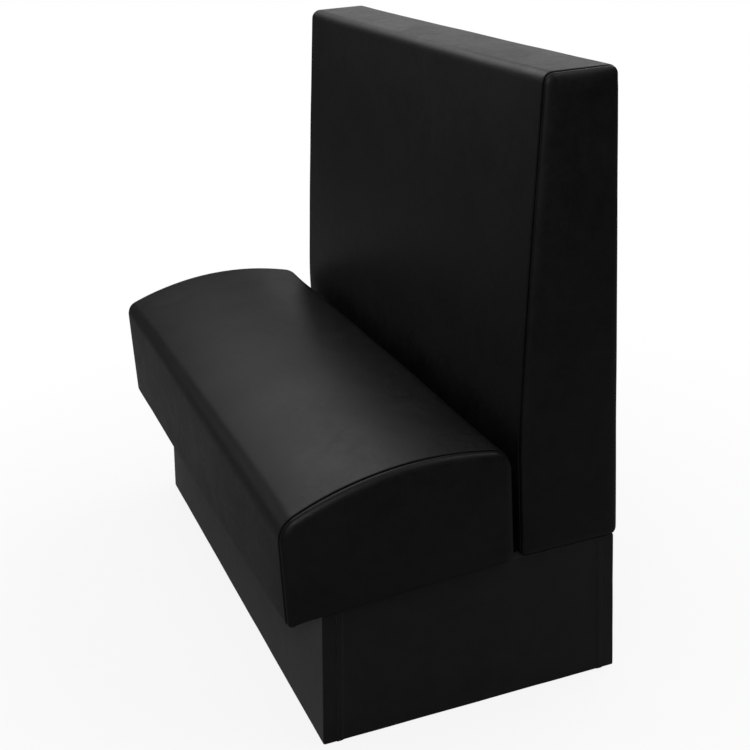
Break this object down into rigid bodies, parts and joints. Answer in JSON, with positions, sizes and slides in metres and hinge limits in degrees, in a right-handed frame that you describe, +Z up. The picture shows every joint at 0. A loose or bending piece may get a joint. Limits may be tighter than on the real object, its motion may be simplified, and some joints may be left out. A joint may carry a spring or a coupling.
{
  "type": "restaurant booth seating",
  "caption": "Free-standing single restaurant booth: toe-kick base, lift-out sprung seat with a crowned cushion and a tall raked back, all covered in smooth vinyl.",
  "frame": {"origin": "on the floor, under the centre of the booth's box", "axes": "+X along the bench, from a seated person's right hand to the left; -Y is the front, where people sit down; +Z up"},
  "size_m": [1.16, 0.61, 1.067],
  "materials": {
    "black_vinyl": "satin",
    "base_vinyl": "matte",
    "plywood": "matte",
    "timber": "matte",
    "foam": "matte",
    "wadding": "matte",
    "grey_felt": "matte",
    "dust_cloth": "matte",
    "spring_wire": "satin",
    "zinc_steel": "satin",
    "nylon": "matte"
  },
  "bodies": {
    "base_and_back": {"back_bolt_washers": "zinc_steel", "back_bottom_rail": "plywood", "back_cover": "black_vinyl", "back_foam": "foam", "back_front_panel": "plywood", "back_inner_gussets": "plywood", "back_lag_bolts": "zinc_steel", "back_left_end_cover": "black_vinyl", "back_left_gusset": "plywood", "back_left_padding": "wadding", "back_lower_panel": "plywood", "back_rear_cover": "black_vinyl", "back_rear_panel": "plywood", "back_right_end_cover": "black_vinyl", "back_right_gusset": "plywood", "back_right_padding": "wadding", "back_top_padding": "wadding", "back_top_rail": "plywood", "back_top_screws": "zinc_steel", "base_back_bearer": "timber", "base_corner_blocks": "timber", "base_corner_screws": "zinc_steel", "base_cross_members": "plywood", "base_front_cover": "base_vinyl", "base_front_panel": "plywood", "base_glides": "nylon", "base_left_end_cover": "base_vinyl", "base_left_end_panel": "plywood", "base_rear_bearer": "timber", "base_rear_cover": "base_vinyl", "base_rear_panel": "plywood", "base_right_end_cover": "base_vinyl", "base_right_end_panel": "plywood", "base_seat_bearer": "plywood"},
    "seat": {"seat_corner_blocks": "timber", "seat_corner_screws": "zinc_steel", "seat_cover": "black_vinyl", "seat_cross_rails": "plywood", "seat_dust_cover": "dust_cloth", "seat_foam": "foam", "seat_front_padding": "foam", "seat_front_rail": "plywood", "seat_insulator": "grey_felt", "seat_left_board": "plywood", "seat_left_end_cover": "black_vinyl", "seat_left_padding": "wadding", "seat_left_rail": "plywood", "seat_locators": "timber", "seat_rear_rail": "plywood", "seat_rest_pads": "grey_felt", "seat_right_board": "plywood", "seat_right_end_cover": "black_vinyl", "seat_right_padding": "wadding", "seat_right_rail": "plywood", "seat_spring_clips": "zinc_steel", "seat_springs": "spring_wire"}
  },
  "joints": [
    {"name": "seat_lift", "type": "slide", "parent": "base_and_back", "child": "seat", "axis": [0, 0, 1], "range_m": [0, 0.25]}
  ]
}
